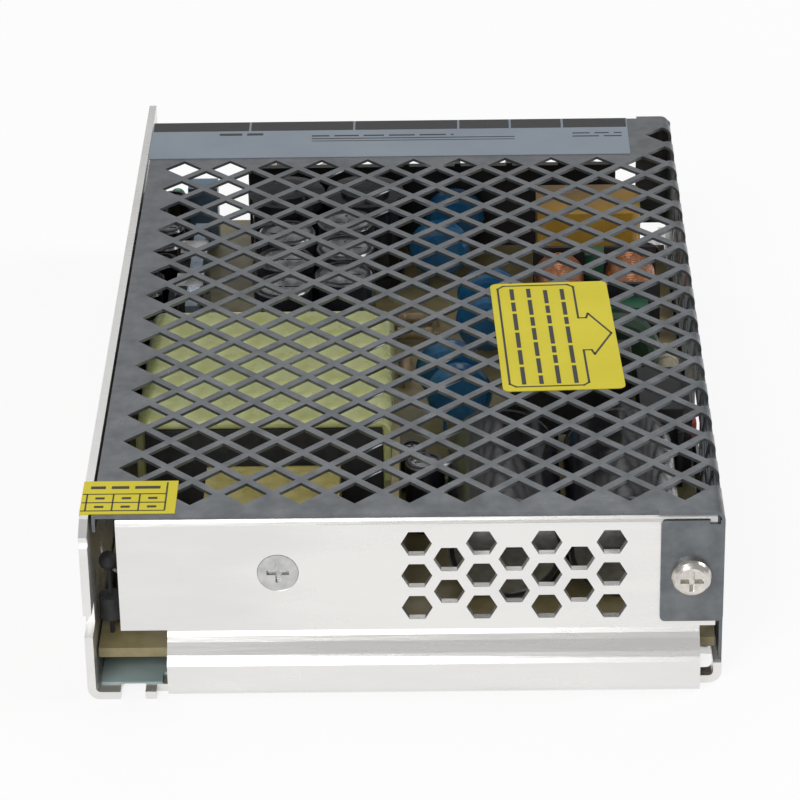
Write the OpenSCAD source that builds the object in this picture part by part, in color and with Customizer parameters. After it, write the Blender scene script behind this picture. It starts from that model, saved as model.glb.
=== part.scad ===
// Enclosed switching power supply in a perforated mesh case.
// X runs across the case, Y from the vented end plate to the terminals,
// Z up from the underside. The origin is the middle of the underside.

/* [Case] */
// Length of the chassis
case_l = 159; // [156:1:175]
// Width of the chassis
case_w = 97; // [96:1:108]
// Height of the chassis
case_h = 30; // [30:0.5:38]
// Thickness of the aluminium chassis sheet
chassis_t = 1.3; // [1:0.1:1.5]
// Outer radius of the chassis bends
bend_r = 2; // [1.8:0.1:2.6]
// Height of the low flange under the cover's side wall
flange_h = 3.6; // [3:0.1:4.4]
// Length of the chamfer on the side wall's top corner
wall_chamfer_l = 3.2; // [2:0.1:4]
// Drop of the chamfer on the side wall's top corner
wall_chamfer_h = 1.5; // [1:0.1:3]
// Height of the open slot in the side wall's edge
wall_slot_h = 3.8; // [2:0.1:5]
// Height of that slot's lower side above the underside
wall_slot_z = 11.1; // [9:0.1:16]
// Depth of the open slots in the side wall and the floor
edge_slot_l = 5.2; // [3:0.1:6]
// Width of the open slot in the floor
floor_slot_w = 3.8; // [3:0.1:4.4]
// Distance of the floor slot from the side wall's outer face
floor_slot_x = 6.9; // [5:0.1:8.5]
// Length between the mounting holes in the side wall and the floor
mount_l = 120; // [110:1:130]
// Width between the mounting holes in the floor
mount_w = 70; // [60:1:76]
// Radius of the tapped mounting holes
mount_r = 1.5; // [1.2:0.05:1.7]
// Height of the mounting holes in the side wall
mount_z = 15; // [12:0.5:20]

/* [End plate] */
// Distance that the upper end plate is set back from the foot
step_back = 4; // [3.2:0.1:4.4]
// Height at which the step begins
step_z0 = 5; // [4.6:0.1:5.6]
// Height at which the step ends
step_z1 = 10.4; // [9.8:0.1:11]
// Depth of the end plate's flange under the cover
flange_d = 3.2; // [2.6:0.1:3.4]
// Distance of the upper plate from the side wall's outer face
plate_left = 5.2; // [3.5:0.1:7]
// Distance of the upper plate from the other side
plate_right = 1.1; // [0.9:0.1:2]
// Distance of the foot from the side wall's outer face
foot_left = 12.3; // [11:0.1:14]
// Distance of the foot from the other side
foot_right = 3.5; // [3:0.1:5]
// Width of the hexagonal vents across their flats
hex_af = 4.1; // [3:0.1:4.5]
// Distance between the columns of vents
hex_pitch_x = 4.92; // [4.7:0.01:5.6]
// Distance between the vents in a column
hex_pitch_z = 5.6; // [5.2:0.1:6]
// Number of columns of vents
hex_cols = 7; // [1:2:9]
// Distance of the middle of the vents from the other side's outer face
hex_from_right = 31.7; // [31:0.1:40]
// Height of the middle of the vents
hex_z = 19.05; // [18.5:0.05:19.5]

/* [Cover] */
// Thickness of the steel cover sheet
cover_t = 0.5; // [0.4:0.05:0.7]
// Outer radius of the cover's folded edge
cover_r = 1.5; // [1:0.1:1.8]
// Distance from the chassis end to the cover's terminal edge
cover_far = 8.6; // [8:0.1:10]
// Gap between the side wall and the cover's tucked flange
cover_gap = 0.45; // [0.1:0.05:0.6]
// Depth of the tucked flange
cover_flange_h = 2.8; // [2:0.1:4]
// Distance by which the cover's folded end stands past its terminal edge
end_ext = 0.9; // [0.6:0.1:1.4]
// Width of that folded end
end_w = 6.2; // [5:0.1:7]
// Height of the folded end's lower edge above the underside
end_z = 8.5; // [8:0.1:12]
// Width of the fastening tab
tab_w = 9.6; // [8.6:0.1:11]
// Height of the fastening tab
tab_h = 17.6; // [15:0.1:18]

/* [Mesh] */
// Width of a diamond across the case
cell_w = 6.6; // [5:0.1:6.8]
// Length of a diamond along the case
cell_l = 6.6; // [5:0.1:6.8]
// Distance between columns of diamonds
cell_pitch_x = 8.3; // [8.3:0.05:8.5]
// Distance between rows of diamonds
cell_pitch_y = 8.55; // [8.4:0.05:8.6]
// Number of rows
cell_rows = 15; // [5:1:15]
// Distance of the first column from the side wall's outer face
cell_x = 8.1; // [7:0.1:9]
// Distance of the first row from the cover's edge
cell_y = 6.4; // [5.5:0.1:7]

/* [Board] */
// Thickness of the circuit board
board_t = 1.6; // [1:0.1:2]
// Height of the standoffs under the board
standoff_h = 3.7; // [3:0.1:4]
// Distance from the chassis end plane to the board's vented edge
board_near = 4.2; // [4:0.1:5]
// Thickness of the insulating sheet on the floor
sheet_t = 0.3; // [0.2:0.05:0.5]

/* [Terminals] */
// Number of screw terminals
poles = 7; // [3:1:7]
// Distance between the screw terminals
pole_pitch = 9.55; // [9:0.05:9.7]
// Radius of the terminal screw heads
pole_screw_r = 3.2; // [2.5:0.1:3.3]
// Height of the terminal block's barriers above the board
block_h = 16.8; // [14:0.1:18]
// Height of the terminals' deck above the board
deck_h = 9.4; // [7:0.1:10]

/* [Components] */
// Radius of the output capacitors
out_cap_r = 5; // [4:0.1:5.1]
// Height of the output capacitors
out_cap_h = 20; // [14:0.5:21]
// Radius of the bulk capacitors, which lie down
bulk_r = 9; // [7:0.1:9.2]
// Length of the bulk capacitors
bulk_l = 31; // [24:0.5:32]
// Width of the transformer over its tape
trafo_w = 41; // [36:0.1:41.4]
// Length of the transformer's tape
trafo_l = 40; // [34:0.5:40.5]
// Height of the transformer above the board
trafo_h = 19.4; // [15:0.1:20.5]
// Travel of the voltage selector
selector_travel = 4; // [3:0.1:5]
// Thickness of the heat-sink plate
sink_t = 2.1; // [1.5:0.1:2.4]

/* [Hidden] */
$fn = 48;
e = 0.01;
xl = -case_w / 2;
xr = case_w / 2;
yn = -case_l / 2;
yf = case_l / 2;
plate_y = yn + step_back;
cover_y0 = plate_y;
cover_y1 = yf - cover_far;
board_z = chassis_t + standoff_h;
bt = board_z + board_t;
wall_in = xl + chassis_t;
side_in = xr - cover_t;
mount_y = [-mount_l / 2, mount_l / 2];
hole_m3 = 1.6;
screw_r = 1.45;
clear = 0.1;

// Points along an arc, from angle a0 to a1.
function arc_pts(c, r, a0, a1, n = 6) =
    [for (i = [0:n]) c + r * [cos(a0 + (a1 - a0) * i / n),
                              sin(a0 + (a1 - a0) * i / n)]];
function seg_dir(p, i) = let (d = p[i + 1] - p[i]) d / norm(d);
// The point beside vertex i of a path, at distance t on its left.
function beside(p, i, t) =
    let (n = len(p),
         a = i == 0 ? seg_dir(p, 0) : seg_dir(p, i - 1),
         b = i == n - 1 ? seg_dir(p, n - 2) : seg_dir(p, i),
         m = (a + b) / norm(a + b),
         k = t / (m * a))
    p[i] + k * [-m[1], m[0]];

// A sheet's section: a path thickened by t on its left.
module strip(p, t) {
    polygon(concat(p, [for (i = [len(p) - 1:-1:0]) beside(p, i, t)]));
}

// Extrudes a section in Y and Z along X, from x0 to x1.
module along_x(x0, x1) {
    translate([x0, 0, 0]) rotate([90, 0, 90]) linear_extrude(x1 - x0) children();
}

// Extrudes a section in X and Z along Y, from y0 to y1.
module along_y(y0, y1) {
    translate([0, y1, 0]) rotate([90, 0, 0]) linear_extrude(y1 - y0) children();
}

module block(p0, p1) {
    translate(p0) cube(p1 - p0);
}

// A plan outline with rounded corners.
module round_rect(p0, p1, r) {
    translate([p0[0] + r, p0[1]]) square([p1[0] - p0[0] - 2 * r, p1[1] - p0[1]]);
    translate([p0[0], p0[1] + r]) square([p1[0] - p0[0], p1[1] - p0[1] - 2 * r]);
    for (x = [p0[0] + r, p1[0] - r], y = [p0[1] + r, p1[1] - r])
        translate([x, y]) circle(r);
}

module diamond(w, l) {
    polygon([[-w / 2, 0], [0, -l / 2], [w / 2, 0], [0, l / 2]]);
}

module cross_recess(r, depth) {
    for (a = [0, 90]) rotate([0, 0, a])
        translate([-r, -r * 0.22, -depth]) cube([2 * r, r * 0.44, depth + 1]);
}

// A pan-head screw with its seat at z = 0 and its head above.
module pan_screw(head_r, head_h, shank_r, shank_l) {
    difference() {
        rotate_extrude() polygon(concat([[0, -shank_l], [shank_r, -shank_l],
            [shank_r, 0], [head_r, 0]],
            arc_pts([head_r - head_h * 0.75, head_h * 0.25],
                head_h * 0.75, 0, 90, 5), [[0, head_h]]));
        translate([0, 0, head_h]) cross_recess(head_r * 0.56, head_h * 0.55);
    }
}

// ---- Chassis ----

step_path = concat([[plate_y + flange_d, case_h - cover_t]],
    arc_pts([plate_y + bend_r, case_h - cover_t - bend_r], bend_r, 90, 180),
    [[plate_y, step_z1 + 0.6]],
    [for (i = [1:7]) [plate_y - step_back * (1 - cos(i * 180 / 8)) / 2,
                      step_z1 - (step_z1 - step_z0) * i / 8]],
    [[yn, step_z0 - 0.6]],
    arc_pts([yn + bend_r, bend_r], bend_r, 180, 270),
    [[yn + 8, 0]]);

module end_plate() {
    difference() {
        along_x(xl + plate_left, xr - plate_right) strip(step_path, chassis_t);
        block([xl, yn - 1, -1], [xl + foot_left, yn + 12, step_z1 - 0.5]);
        block([xr - foot_right, yn - 1, -1], [xr, yn + 12, step_z1 - 0.5]);
        for (c = [0:hex_cols - 1]) let (n = c % 2 == 0 ? 3 : 2)
            for (r = [0:n - 1])
                translate([xr - hex_from_right + (c - (hex_cols - 1) / 2)
                        * hex_pitch_x, plate_y - 1,
                    hex_z + (r - (n - 1) / 2) * hex_pitch_z])
                rotate([-90, 0, 0]) cylinder(r = hex_af / sqrt(3), h = 6, $fn = 6);
        translate([clamp_x, plate_y, clamp_z]) rotate([-90, 0, 0]) {
            translate([0, 0, -1]) cylinder(r = hole_m3, h = 5);
            translate([0, 0, -e]) cylinder(r1 = clamp_head_r + clear,
                r2 = hole_m3, h = chassis_t);
        }
        translate([tab_x, plate_y - 1, tab_z]) rotate([-90, 0, 0])
            cylinder(r = screw_r + 0.05, h = 5);
    }
}
clamp_x = xl + 29.5;
clamp_z = case_h - 10.2;
clamp_head_r = 3.1;
tab_x = xr - 4.95;
tab_z = case_h - 11;

module base_chassis() {
    path = concat([[xl, case_h]],
        arc_pts([xl + bend_r, bend_r], bend_r, 180, 270),
        arc_pts([xr - bend_r, bend_r], bend_r, 270, 360),
        [[xr, flange_h]]);
    color("silver") union() {
        end_plate();
        difference() {
            along_y(yn, yf) strip(path, chassis_t);
            // The end plate's foot turns up out of the floor here.
            block([xl + foot_left, yn - 1, -1],
                [xr - foot_right, yn + bend_r + 3, chassis_t + 0.2]);
            block([xr - foot_right - e, yn - 1, -1],
                [xr + 1, plate_y - 0.8, case_h]);
            // Relief beside the foot.
            block([xl + foot_left - 1.8, yn - 1, -1],
                [xl + foot_left + e, yn + 2.2, chassis_t + 1]);
            // Open slots in the floor and the side wall.
            translate([xl + floor_slot_x, yn - 1, -1])
                linear_extrude(chassis_t + 2) {
                translate([-floor_slot_w / 2, 0])
                    square([floor_slot_w, 1 + edge_slot_l - floor_slot_w / 2]);
                translate([0, 1 + edge_slot_l - floor_slot_w / 2])
                    circle(floor_slot_w / 2);
            }
            along_x(xl - 1, xl + chassis_t + 1) {
                translate([yn - 1, wall_slot_z]) square([edge_slot_l, wall_slot_h]);
                polygon([[yn - 1, case_h + 1], [yn + wall_chamfer_l, case_h + 1],
                    [yn + wall_chamfer_l, case_h],
                    [yn, case_h - wall_chamfer_h],
                    [yn - 1, case_h - wall_chamfer_h]]);
                translate([yn - 1, case_h - 3.4]) square([1.9, 1.2]);
            }
            // Hole at the floor's open corner, through the foot of the flange.
            translate([xr - 2.7, yn + 8.6, -1]) cylinder(r = 3, h = 3.4);
            // Tapped mounting holes.
            for (y = mount_y) {
                translate([xl - 1, y, mount_z]) rotate([0, 90, 0])
                    cylinder(r = mount_r, h = chassis_t + 2);
                for (x = [-mount_w / 2, mount_w / 2])
                    translate([x, y, -1]) cylinder(r = mount_r, h = chassis_t + 2);
            }
            // Seats of the pressed standoffs.
            for (p = stand_pts) translate([p[0], p[1], -1])
                cylinder(r = stand_press_r, h = chassis_t + 2);
        }
    }
}

stand_r = 2.6;
stand_press_r = 2;
stand_head_r = 2.8;
stand_pts = [[xl + 7, yn + 22], [xr - 4.8, yn + 24],
             [xl + 7, yf - 22], [xr - 4.8, yf - 18.4]];

module board_standoffs() {
    color("gainsboro") for (p = stand_pts) translate([p[0], p[1], 0])
        difference() {
            union() {
                cylinder(r = stand_press_r, h = chassis_t + e);
                translate([0, 0, chassis_t])
                    cylinder(r = stand_r / cos(30), h = standoff_h, $fn = 6);
            }
            translate([0, 0, -1]) cylinder(r = screw_r + 0.05, h = board_z + 2);
        }
}

module board_screws() {
    color("lightgray") for (p = stand_pts) translate([p[0], p[1], bt])
        pan_screw(stand_head_r, 1.9, screw_r, board_t + 3);
}

module insulation_sheet() {
    color("whitesmoke") difference() {
        block([wall_in + 0.6, yn + 2.4, chassis_t],
            [xr - 6.2, yf - 3, chassis_t + sheet_t]);
        // Clears the foot of the end plate and its bend.
        block([xl + foot_left - 1, yn, chassis_t - 1],
            [xr, yn + bend_r + 3.2, chassis_t + 1]);
        for (p = stand_pts) translate([p[0], p[1], 0])
            cylinder(r = stand_r / cos(30) + 0.3, h = 4);
        for (y = mount_y, x = [-mount_w / 2, mount_w / 2])
            translate([x, y, 0]) cylinder(r = mount_r + 1, h = 4);
    }
}

// ---- Cover ----

cell_x0 = xl + cell_x;
cell_y0 = cover_y0 + cell_y;
cell_cols = floor((xr - cover_r - cell_w / 2 - 0.9 - cell_x0) / cell_pitch_x) + 1;
end_r = cover_r + 0.5;
fold_x = cell_x0 + (cell_cols - 0.5) * cell_pitch_x;
window_y = [plate_y + 49.5, plate_y + 67.5];
selector_z = bt + 7.4;
window_z = [selector_z - 4, selector_z + 4];

// The column of diamonds at distance s from the first one, measured along the
// flat sheet, lies on the side wall at this height.
function side_z(s) = case_h - cover_r - (s - (xr - cover_r - cell_x0)
    - (cover_r - cover_t / 2) * PI / 2);
function in_window(y, z) = y > window_y[0] - 4.3 && y < window_y[1] + 4.3
    && z > window_z[0] - 3 && z < window_z[1] + 3;

module top_pattern() {
    for (r = [0:cell_rows - 1]) {
        for (c = [0:cell_cols - 1])
            translate([cell_x0 + c * cell_pitch_x, cell_y0 + r * cell_pitch_y])
                diamond(cell_w, cell_l);
        if (r < cell_rows - 1) for (c = [0:cell_cols - 2])
            translate([cell_x0 + (c + 0.5) * cell_pitch_x,
                cell_y0 + (r + 0.5) * cell_pitch_y]) diamond(cell_w, cell_l);
    }
}

module side_pattern() {
    for (k = [1:6]) let (s = (cell_cols - 0.5 + k / 2) * cell_pitch_x,
        z = side_z(s), odd = k % 2)
        if (z > flange_h + cell_w / 2 + 0.8) for (r = [0:cell_rows + odd - 2])
            let (y = cell_y0 + (r + (odd ? 0 : 0.5)) * cell_pitch_y)
                if (!in_window(y, z)) translate([y, z]) diamond(cell_l, cell_w);
}

// A diamond that runs over the fold: its top part, then its side part.
module fold_cell(y) {
    right = fold_x + cell_w / 2;
    spill = right - (xr - cover_r);
    half = cell_l / 2;
    bend_arc = (cover_r - cover_t / 2) * PI / 2;
    edge = max(0.2, half * (spill - bend_arc * 0.6) / (cell_w / 2));
    translate([0, y, case_h - cover_r - 0.6]) linear_extrude(cover_r + 2)
        polygon([[fold_x - cell_w / 2, 0], [fold_x, -half], [xr + 0.5, -edge],
            [xr + 0.5, edge], [fold_x, half]]);
    translate([xr - cover_t - 0.5, y, 0]) rotate([90, 0, 90])
        linear_extrude(cover_t + 1) polygon([[-edge, case_h - cover_r + 0.6],
            [edge, case_h - cover_r + 0.6], [0, side_z(right - cell_x0)]]);
}

module mesh_cover() {
    left = wall_in + cover_gap;
    far_y = cover_y1 + end_ext;
    color("slategray") difference() {
        union() {
            // Top sheet, with a rounded far corner beyond the fold.
            translate([0, 0, case_h - cover_t]) linear_extrude(cover_t)
                difference() {
                union() {
                    translate([left, cover_y0])
                        square([xr - cover_r - left, cover_y1 - cover_y0]);
                    translate([xr - end_w, cover_y0])
                        square([end_w - cover_r, far_y - cover_y0]);
                    translate([xr - tab_w - 0.5, cover_y0 - cover_t])
                        square([tab_w + 0.5 - cover_r, cover_t + e]);
                }
                top_pattern();
            }
            // Fold and side wall.
            along_y(cover_y0 - cover_t, far_y)
                strip(concat([[xr, case_h - cover_r - 0.8]],
                    arc_pts([xr - cover_r, case_h - cover_r], cover_r, 0, 90),
                    [[xr - cover_r - e, case_h]]), cover_t);
            translate([xr - cover_t, 0, 0]) rotate([90, 0, 90])
                linear_extrude(cover_t) difference() {
                translate([cover_y0, flange_h]) square([far_y - end_r - cover_y0
                    + e, case_h - cover_r - 0.8 + e - flange_h]);
                side_pattern();
                translate([window_y[0], window_z[0]])
                    square([window_y[1] - window_y[0], window_z[1] - window_z[0]]);
            }
            // End folded in beside the terminals.
            translate([0, 0, end_z]) linear_extrude(case_h - cover_t - end_z + e)
                strip(concat(arc_pts([xr - end_r, far_y - end_r], end_r, 0, 90),
                    [[xr - end_w, far_y]]), cover_t);
            // Flange tucked inside the chassis wall.
            block([left, cover_y0, case_h - cover_flange_h],
                [left + cover_t, cover_y1, case_h]);
            // Fastening tab, folded round from the side wall.
            along_y(cover_y0 - cover_t, cover_y0)
                translate([xr - tab_w, case_h - 1.5 - tab_h])
                    round_rect([0, 0], [tab_w, tab_h], 0.8);
        }
        for (r = [0:cell_rows])
            fold_cell(cell_y0 + (r + 0.5) * cell_pitch_y);
        // The corner over the folded end is rounded with it.
        translate([xr - end_r, far_y - end_r, case_h - 4]) linear_extrude(5)
            difference() {
            square(end_r + 1);
            circle(end_r);
        }
        // Relief hole where the two folds meet.
        translate([xr - 1.5, cover_y0 - cover_t / 2, case_h - 1.6])
            cube([1.6, cover_t + 1, 1.1], center = true);
        translate([tab_x, cover_y0 - 3, tab_z]) rotate([-90, 0, 0])
            cylinder(r = hole_m3, h = 3.5);
    }
}

module cover_screw() {
    color("lightgray") translate([tab_x, cover_y0 - cover_t, tab_z])
        rotate([90, 0, 0]) pan_screw(3.15, 1.9, screw_r, 5);
}

// ---- Transistor clamped to the end plate ----

pad_t = 0.3;
pad_w = 13;
case_t = 4.5;
tab_t = 1.4;
module transistor_pad() {
    color("gray") difference() {
        block([clamp_x - pad_w / 2, plate_y + chassis_t, bt + 1.2],
            [clamp_x + pad_w / 2, plate_y + chassis_t + pad_t, clamp_z + 5.5]);
        translate([clamp_x, plate_y, clamp_z]) rotate([-90, 0, 0])
            cylinder(r = hole_m3 + 0.2, h = 5);
    }
}

module power_transistor() {
    y = plate_y + chassis_t + pad_t;
    color("#202022") {
        difference() {
            block([clamp_x - 5.1, y, clamp_z - 10], [clamp_x + 5.1, y + case_t,
                clamp_z - 3.2]);
            block([clamp_x - 6, y + 2.8, clamp_z - 4],
                [clamp_x + 6, y + case_t + 0.5, clamp_z]);
        }
        difference() {
            block([clamp_x - 5.1, y, clamp_z - 3.2 - e],
                [clamp_x + 5.1, y + tab_t, clamp_z + 5]);
            translate([clamp_x, y - 1, clamp_z]) rotate([-90, 0, 0])
                cylinder(r = hole_m3, h = 5);
        }
        for (dx = [-2.54, 0, 2.54])
            block([clamp_x + dx - 0.4, y + 1.8, bt], [clamp_x + dx + 0.4,
                y + 2.4, clamp_z - 10 + e]);
    }
}

module clamp_bar() {
    y = plate_y + chassis_t + pad_t + tab_t;
    color("silver") difference() {
        block([clamp_x - 4, y, clamp_z - 3], [clamp_x + 4, y + 2.6, clamp_z + 4]);
        translate([clamp_x, y - 1, clamp_z]) rotate([-90, 0, 0])
            cylinder(r = screw_r + 0.05, h = 5);
    }
}

module clamp_screw() {
    color("lightgray") translate([clamp_x, plate_y, clamp_z]) rotate([-90, 0, 0])
        difference() {
            union() {
                cylinder(r1 = clamp_head_r, r2 = screw_r, h = chassis_t);
                cylinder(r = screw_r, h = chassis_t + pad_t + tab_t + 2.8);
            }
            rotate([180, 0, 0]) cross_recess(clamp_head_r * 0.55, 1);
        }
}

// ---- Board ----

module circuit_board() {
    color("#b3a060") difference() {
        block([wall_in + 0.3, yn + board_near, board_z],
            [side_in - 0.5, yf - 1, bt]);
        block([xr - 5, yn, board_z - 1], [xr, yn + board_near + 1.6, bt + 1]);
        // Clears the cover's folded end.
        block([xr - end_w + 0.8, yf - 14, board_z - 1], [xr, yf, bt + 1]);
        for (p = stand_pts) translate([p[0], p[1], 0])
            cylinder(r = hole_m3, h = bt + 1);
    }
}

// ---- Terminal block ----

block_x0 = xl + 19.4;
block_y0 = yf - 13.4;
block_y1 = yf - 0.6;
barrier_t = 1.1;
deck_z = bt + deck_h;
function pole_x(i) = block_x0 + (i + 0.5) * pole_pitch;
pole_y = block_y1 - 5.6;

module terminal_block() {
    x1 = block_x0 + poles * pole_pitch;
    color("#1c1c1e") difference() {
        union() {
            block([block_x0 - barrier_t / 2, block_y0, bt],
                [x1 + barrier_t / 2, block_y1, deck_z]);
            block([block_x0 - barrier_t / 2, block_y0, bt],
                [x1 + barrier_t / 2, block_y0 + 1.4, bt + block_h - 0.5]);
            for (i = [0:poles])
                along_x(block_x0 + i * pole_pitch - barrier_t / 2,
                    block_x0 + i * pole_pitch + barrier_t / 2)
                    polygon([[block_y0, bt], [block_y1, bt],
                        [block_y1, deck_z + 3.4], [block_y1 - 2.4, bt + block_h],
                        [block_y0, bt + block_h]]);
        }
        for (i = [0:poles - 1]) {
            translate([pole_x(i), pole_y, deck_z - 6])
                cylinder(r = 2.2, h = 8);
            block([pole_x(i) - 1.6, block_y0 + 1.9, bt - 1],
                [pole_x(i) + 1.6, block_y0 + 3, deck_z + 1]);
        }
    }
}

module terminal_plates() {
    color("#c9b37a") for (i = [0:poles - 1]) {
        difference() {
            block([pole_x(i) - pole_pitch / 2 + 0.9, block_y0 + 2, deck_z],
                [pole_x(i) + pole_pitch / 2 - 0.9, block_y1 - 0.8, deck_z + 0.9]);
            translate([pole_x(i), pole_y, deck_z - 1]) cylinder(r = 1.85, h = 4);
        }
        block([pole_x(i) - 1.4, block_y0 + 2, bt],
            [pole_x(i) + 1.4, block_y0 + 2.8, deck_z + e]);
    }
}

module terminal_screws() {
    color("gainsboro") for (i = [0:poles - 1])
        translate([pole_x(i), pole_y, deck_z + 0.9]) {
            difference() {
                translate([-3.6, -3.6, 0]) cube([7.2, 7.2, 0.8]);
                translate([0, 0, -1]) cylinder(r = 1.85, h = 3);
            }
            translate([0, 0, 0.8]) pan_screw(pole_screw_r, 2.3, 1.8, 5);
        }
}

// ---- Voltage selector ----

selector_y = (window_y[0] + window_y[1]) / 2;
knob_l = 4.4;
knob_h = 3;

module selector_body() {
    x1 = side_in - 1;
    slot_l = knob_l + selector_travel + 0.6;
    color("#26262a") difference() {
        union() {
            block([x1 - 8.6, selector_y - 7.5, bt],
                [x1 - 1.6, selector_y + 7.5, selector_z + 6]);
            block([x1 - 1.6 - e, selector_y - 6.8, bt],
                [x1, selector_y + 6.8, selector_z + 3.6]);
            for (s = [-1, 1])
                block([x1 - 2.6, selector_y + s * 8.4 - 1.4, bt],
                    [x1 - 1.6, selector_y + s * 8.4 + 1.4, selector_z + 3]);
        }
        block([x1 - 3.4, selector_y - slot_l / 2, selector_z - knob_h / 2 - clear],
            [x1 + 1, selector_y + slot_l / 2, selector_z + knob_h / 2 + clear]);
    }
}

module selector_slider() {
    x1 = side_in - 1;
    y0 = selector_y - (knob_l + selector_travel) / 2;
    color("#b3402f") difference() {
        block([x1 - 3.2, y0, selector_z - knob_h / 2],
            [x1 + 0.9, y0 + knob_l, selector_z + knob_h / 2]);
        block([x1 - 0.1, y0 + knob_l / 2 - 0.5, selector_z - knob_h],
            [x1 + 1, y0 + knob_l / 2 + 0.5, selector_z + knob_h]);
    }
}

// ---- Output adjustment and lamp ----

trim_x = xl + 10.1;
trim_y = yf - 12.3;
trim_z = bt + 8.6;
trim_r = 1.8;

module trimmer_body() {
    color("lightsteelblue") difference() {
        block([trim_x - 2.7, trim_y, bt], [trim_x + 2.7, trim_y + 4.6, bt + 11.8]);
        translate([trim_x, trim_y + 4.6 + e, trim_z]) rotate([90, 0, 0])
            cylinder(r = trim_r + 0.08, h = 0.9);
        translate([trim_x, trim_y + 4.6, trim_z]) rotate([90, 0, 0])
            cylinder(r = 0.75, h = 3);
    }
}

module trimmer_rotor() {
    color("white") difference() {
        union() {
            translate([trim_x, trim_y + 4.6, trim_z]) rotate([90, 0, 0])
                cylinder(r = trim_r, h = 0.8);
            translate([trim_x, trim_y + 4.6, trim_z]) rotate([90, 0, 0])
                cylinder(r = 0.7, h = 2.8);
        }
        block([trim_x - 1.3, trim_y + 4.2, trim_z - 0.3],
            [trim_x + 1.3, trim_y + 5, trim_z + 0.3]);
    }
}

module status_led() {
    x = xl + 5.1;
    y = yf - 7.5;
    color("seagreen") {
        translate([x, y, bt + 3.6]) cylinder(r = 1.9, h = 1);
        translate([x, y, bt + 4.6 - e]) cylinder(r = 1.5, h = 3.6);
        translate([x, y, bt + 8.2 - 2 * e]) intersection() {
            sphere(1.5);
            translate([-2, -2, 0]) cube(4);
        }
        for (s = [-1, 1]) translate([x + s * 1.27 - 0.25, y - 0.25, bt])
            cube([0.5, 0.5, 3.6 + e]);
    }
}

// ---- Transformer ----

trafo_x = xl + 26;
trafo_y = yn + 60.4;
trafo_z = bt + 2.2;

module transformer_tape() {
    color("#d9dc8a") along_y(trafo_y - trafo_l / 2, trafo_y + trafo_l / 2)
        difference() {
        round_rect([trafo_x - trafo_w / 2, trafo_z - 1],
            [trafo_x + trafo_w / 2, bt + trafo_h], 2.4);
        translate([trafo_x - trafo_w / 2 + 1.6, trafo_z + 0.6])
            square([trafo_w - 3.2, bt + trafo_h - trafo_z - 1.8]);
    }
}

module transformer_core() {
    color("#232326") along_y(trafo_y - trafo_l / 2 - 0.4,
        trafo_y + trafo_l / 2 + 0.4)
        translate([trafo_x - trafo_w / 2 + 1.6, trafo_z + 0.6])
            square([trafo_w - 3.2, bt + trafo_h - trafo_z - 1.8]);
}

module transformer_bobbin() {
    color("#2b2520") {
        for (s = [-1, 1]) {
            block([trafo_x - trafo_w / 2 + 2, trafo_y + s * (trafo_l / 2 - 4) - 3,
                bt + 0.6], [trafo_x + trafo_w / 2 - 2,
                trafo_y + s * (trafo_l / 2 - 4) + 3, trafo_z - 1]);
            for (i = [0:5]) translate([trafo_x - 12.7 + i * 5.08,
                trafo_y + s * (trafo_l / 2 - 4), bt]) cylinder(r = 0.5, h = 0.7);
        }
    }
}

// ---- Output stage ----

sink_x = xl + 11;
sink_y = [trafo_y + trafo_l / 2 + 2.2, trafo_y + trafo_l / 2 + 35];

module sink_plate() {
    color("lightslategray") {
        block([sink_x, sink_y[0], bt + 2], [sink_x + sink_t, sink_y[1], bt + 19.4]);
        for (y = [sink_y[0] + 2, sink_y[1] - 4])
            block([sink_x, y, bt], [sink_x + sink_t, y + 2, bt + 2 + e]);
    }
}

module output_diodes() {
    color("#1d1d20") for (i = [0:1]) let (y = sink_y[0] + 9 + i * 13) {
        block([sink_x - 4.5, y - 5, bt + 3], [sink_x, y + 5, bt + 11]);
        block([sink_x - 1.3, y - 5, bt + 11 - e], [sink_x, y + 5, bt + 18]);
        for (d = [-2.54, 0, 2.54])
            block([sink_x - 2.6, y + d - 0.4, bt], [sink_x - 2, y + d + 0.4,
                bt + 3 + e]);
    }
}

module diode_clips() {
    color("silver") for (i = [0:1]) let (y = sink_y[0] + 9 + i * 13)
        along_y(y - 2.5, y + 2.5) strip([[sink_x + sink_t + 0.6, bt + 12],
            [sink_x + sink_t + 0.6, bt + 20], [sink_x - 1.9, bt + 20],
            [sink_x - 1.9, bt + 12.4], [sink_x - 3.3, bt + 11.6]], 0.6);
}

// A can with a crimp round its foot and a scored top inside the sleeve's rim.
module electrolytic(r, h) {
    rim = 0.9;
    difference() {
        rotate_extrude() polygon(concat([[0, 0], [r - 0.3, 0], [r, 0.3],
            [r, 1.6], [r - 0.35, 2], [r, 2.4], [r, h - 0.4], [r - 0.4, h],
            [r - rim, h], [r - rim, h - 0.35], [0, h - 0.35]]));
        for (a = [0, 90]) rotate([0, 0, a])
            translate([-(r - rim) * 0.72, -0.2, h - 0.55])
            cube([(r - rim) * 1.44, 0.4, 1]);
    }
}

choke_r = 7;
can_y = yf - 25.6;
out_pitch = 10.6;
out_shift = 4.4;
out_y = sink_y[0] + 6.6;
out_rows = floor((can_y - choke_r - out_shift - out_y - out_cap_r)
    / out_pitch) + 1;

// Two columns in step, as many rows as fit before the output chokes.
module output_capacitors() {
    color("#2a2a2e") for (c = [0:1], r = [0:out_rows - 1])
        translate([xl + 27.4 + c * 10.3, out_y + r * out_pitch + c * out_shift, bt])
            electrolytic(out_cap_r, out_cap_h);
}

module output_chokes() {
    color("#1f1f22") for (c = [0:1])
        translate([xl + 26.4 + c * 14.3, can_y, bt]) {
            cylinder(r = choke_r, h = 2);
            cylinder(r = choke_r - 0.8, h = 15);
            translate([0, 0, 15 - e]) cylinder(r = choke_r, h = 2);
            translate([0, 0, 17 - e]) cylinder(r = choke_r - 2.6, h = 0.6);
        }
}

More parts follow.
